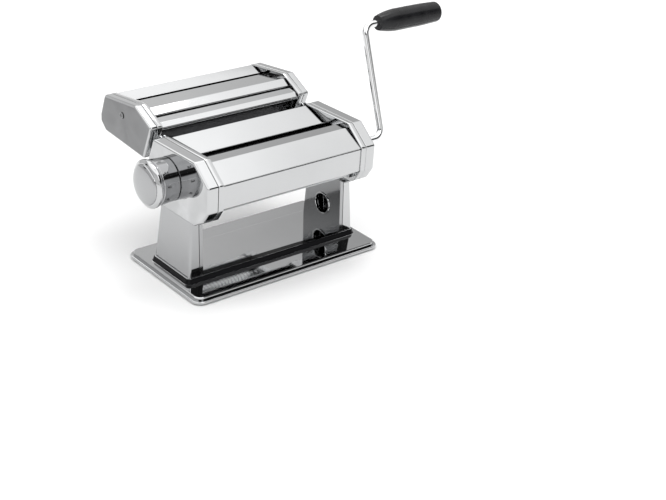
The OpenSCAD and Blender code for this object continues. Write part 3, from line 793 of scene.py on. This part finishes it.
def make_grip(centre):
    """The tapered grip with a domed end and a parting line on either side."""
    low, high = box_mm("grip")
    length = high.x - low.x
    steps = 48
    nose, swell, swell_end, taper_start, dome = 6.9, 3.2, 0.3, 0.6, 4.5

    def radius(x):
        share, tail = x / length, length - x
        full = nose + swell * math.sin(math.pi / 2 * min(1, share / swell_end))
        full -= (max(0, share - taper_start) / (1 - taper_start)) ** 1.5
        return full * (math.sqrt(max(0, 1 - (1 - tail / dome) ** 2)) if tail < dome else 1)

    outer = []
    for k in range(steps + 1):
        x = length * math.sin(math.pi / 2 * k / steps)
        outer.append((low.x + x, max(0.05, radius(x))))
    front = arc((low.x + 0.9, outer[0][1] - 0.9), 0.9, 180, 90, 5)
    profile = [(low.x, SOCKET_RADIUS)] + front + [p for p in outer if p[0] > low.x + 1.2]
    chamber, pocket_start, pocket_end = 5.1, high.x - 13.1, high.x - 7
    profile += [(pocket_end, 0.05), (pocket_end, chamber), (pocket_start, chamber),
                (pocket_start, SOCKET_RADIUS)]
    turns = 144
    groove, groove_half = 0.35, 2.4         # depth, and half the width in degrees
    parting = (28, 208)
    rings = []
    for k in range(turns):
        a = 2 * math.pi * k / turns
        off = min(abs(math.degrees(a) - t) for t in parting)
        dip = groove * max(0, 1 - off / groove_half)
        rings.append([(x, centre.x + (r - dip * (r > 5)) * math.cos(a),
                       centre.y + (r - dip * (r > 5)) * math.sin(a)) for x, r in profile])
    verts, faces = loft(rings, close=True)
    add_piece("handle_grip", verts, faces, BLACK, "grip", smooth=50)


make_grip(make_crank())

# ---- thickness knob -----------------------------------------------------------------


def make_knob():
    """The dial with its rounded rim and the domed cap; gives back where the dial starts."""
    low, high = box_mm("thickness_knob")
    cap_low, _ = box_mm("knob_cap")
    rim_start = 16.2
    radius = (high.y - low.y) / 2
    base, front = -high.x, -low.x
    profile = [(base, 17.3), (base, 18.4), (base + 0.4, 18.9), (base + 14.9, 19.6),
               (base + 15.3, 19.3), (base + 15.6, 18.9), (base + 16.1, 18.9), (base + 16.5, 19.6)]
    profile += arc((base + 18.6, radius - 1.1), 1.1, 125, 90, 4)
    profile += arc((front - 2.4, radius - 1.0), 1.0, 90, 50, 4)
    profile += [(front - 0.3, 18.4), (front, 18.0), (front, 17.4), (base + 8.1, 17.4),
                (base + 8.1, 8), (base + 13.7, 8), (base + 13.7, 4.05), (base + 5.1, 4.05),
                (base + 5.1, 17.3)]
    body = lathe("knob_body", KNOB, [(-x, r) for x, r in profile], CHROME, "thickness_knob",
                 steps=180)
    # the barrel behind the rim takes the darker chrome copy: painted shade
    body.data.materials.append(SHADED_BARREL)
    for face in body.data.polygons:
        face.material_index = int(-face.center.x < (base + rim_start) * MM)
    rise = -cap_low.x - front
    dome = [(front + rise * math.cos(a), 17.3 * math.sin(a))
            for a in (math.pi / 2 * k / 16 for k in range(1, 17))]
    inner = [(front - 1.0 + (rise - 0.2) * math.cos(a), 16.3 * math.sin(a))
             for a in (math.pi / 2 * k / 16 for k in range(1, 17))]
    dome = [(front + rise, 0.02)] + dome + inner[::-1] + [(front - 1.2 + rise, 0.02)]
    # the dome takes the darker chrome copy: painted shade
    lathe("knob_dome", KNOB, [(-x, r) for x, r in dome], SHADED_CAP, "knob_cap")
    return base


def make_numbers(base):
    """Dial numbers round the knob, bent onto its skirt."""
    depth, size, radius, offset = 0.05, 4.4, 19.85, 10.6
    first, step, count = 100, 36, 9         # the first angle and the step, in degrees
    for i in range(count):
        curve = bpy.data.curves.new(f"dial_number_{i + 1}", "FONT")
        curve.body = str(i + 1)
        curve.size = size
        curve.align_x = curve.align_y = "CENTER"
        curve.extrude = depth
        temp = bpy.data.objects.new("temp", curve)
        bpy.context.scene.collection.objects.link(temp)
        bpy.context.view_layer.update()
        graph = bpy.context.evaluated_depsgraph_get()
        mesh = bpy.data.meshes.new_from_object(temp.evaluated_get(graph))
        bpy.data.objects.remove(temp)
        mid = math.radians(first + step * i)
        for v in mesh.vertices:
            across, along, out = v.co
            a = mid + across / radius
            x = -(base + offset + along)
            r = radius + out
            v.co = Vector((x, KNOB[0] + r * math.cos(a), KNOB[1] + r * math.sin(a))) * MM
        mesh.materials.append(INK)
        obj = bpy.data.objects.new(f"dial_number_{i + 1}", mesh)
        bpy.context.scene.collection.objects.link(obj)
        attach(obj, "knob")


make_numbers(make_knob())

# ---- studio -------------------------------------------------------------------------


def make_floor():
    size, ground = 6.0, -0.0002
    mesh = bpy.data.meshes.new("floor")
    mesh.from_pydata([(-size, -size, ground), (size, -size, ground), (size, size, ground),
                      (-size, size, ground)], [], [(0, 1, 2, 3)])
    g = Graph("floor_paper")
    g.link(g.mix(g.ramp(g.noise(3, 2), 0, 1), (0.88, 0.88, 0.88), (0.90, 0.90, 0.90)),
           g.shader.inputs["Base Color"])
    g.shader.inputs["Roughness"].default_value = 0.8
    mesh.materials.append(g.material)
    floor = bpy.data.objects.new("floor", mesh)
    bpy.context.scene.collection.objects.link(floor)


# Dark flags and bright screens of the tent: direction, then (cosine, level) stops
FLAGS = [((-0.505, -0.77, 0.39), [(0.0, 1.0), (0.91, 1.0), (0.935, 0.03), (1.0, 0.03)]),
         ((0.52, -0.70, 0.49), [(0.0, 1.0), (0.93, 1.0), (0.96, 0.02), (1.0, 0.02)]),
         ((1.0, 0.0, 0.0), [(0.0, 1.0), (0.5, 1.0), (0.62, 0.74), (1.0, 0.6)]),
         ((-0.64, 0.70, 0.31), [(0.0, 1.0), (0.990, 1.0), (0.9935, 0.03), (1.0, 0.03)]),
         ((0.54, 0.46, 0.71), [(0.0, 1.0), (0.990, 1.0), (0.994, 0.60), (1.0, 0.60)])]
SCREENS = [((-0.59, -0.80, 0.03), [(0.0, 0.0), (0.93, 0.0), (0.96, 0.6), (1.0, 0.6)])]
# Level of the tent against the height of the direction
TENT = [(0.0, 0.38), (0.3, 0.42), (0.47, 0.34), (0.49, 0.36), (0.515, 0.80), (0.66, 0.86),
        (0.85, 0.86), (1.0, 0.5)]
TENT_STRENGTH = 2.0


def make_world():
    """A light tent: grey towards the horizon, brighter overhead, with flags and screens."""
    world = bpy.data.worlds.new("studio")
    bpy.context.scene.world = world
    world.use_nodes = True
    tree = world.node_tree
    background = tree.nodes["Background"]
    coords = tree.nodes.new("ShaderNodeTexCoord")
    split = tree.nodes.new("ShaderNodeSeparateXYZ")
    tree.links.new(coords.outputs["Generated"], split.inputs[0])

    def ramp(value, stops):
        node = tree.nodes.new("ShaderNodeValToRGB")
        node.color_ramp.interpolation = "EASE"
        while len(node.color_ramp.elements) < len(stops):
            node.color_ramp.elements.new(0.5)
        for element, (at, level) in zip(node.color_ramp.elements, stops):
            element.position = at
            element.color = (level, level, level, 1)
        tree.links.new(value, node.inputs[0])
        return node.outputs["Color"]

    def toward(vector, stops):
        node = tree.nodes.new("ShaderNodeVectorMath")
        node.operation = "DOT_PRODUCT"
        node.inputs[1].default_value = Vector(vector).normalized()
        tree.links.new(coords.outputs["Generated"], node.inputs[0])
        return ramp(node.outputs["Value"], stops)

    def combine(a, b, blend):
        mix = tree.nodes.new("ShaderNodeMix")
        mix.data_type, mix.blend_type = "RGBA", blend
        mix.inputs["Factor"].default_value = 1.0
        tree.links.new(a, mix.inputs["A"])
        tree.links.new(b, mix.inputs["B"])
        return mix.outputs["Result"]

    level = ramp(split.outputs["Z"], TENT)
    for vector, stops in FLAGS:
        level = combine(level, toward(vector, stops), "MULTIPLY")
    for vector, stops in SCREENS:
        level = combine(level, toward(vector, stops), "ADD")
    tree.links.new(level, background.inputs["Color"])
    background.inputs["Strength"].default_value = TENT_STRENGTH


# Soft lamps: name, place in metres, edge in metres, power in watts
LAMPS = [("key", (0.35, 0.25, 1.5), 0.6, 5.0), ("fill", (-0.3, -1.3, 1.2), 0.6, 3.0)]
LIT_POINT = Vector((0, 0, 0.08))


def make_lights():
    for name, place_m, size, power in LAMPS:
        light = bpy.data.lights.new(name, "AREA")
        light.size, light.energy = size, power
        obj = bpy.data.objects.new(name, light)
        obj.location = place_m
        obj.rotation_mode = "QUATERNION"
        obj.rotation_quaternion = (LIT_POINT - Vector(place_m)).to_track_quat("-Z", "Y")
        bpy.context.scene.collection.objects.link(obj)


make_floor()
make_world()
make_lights()
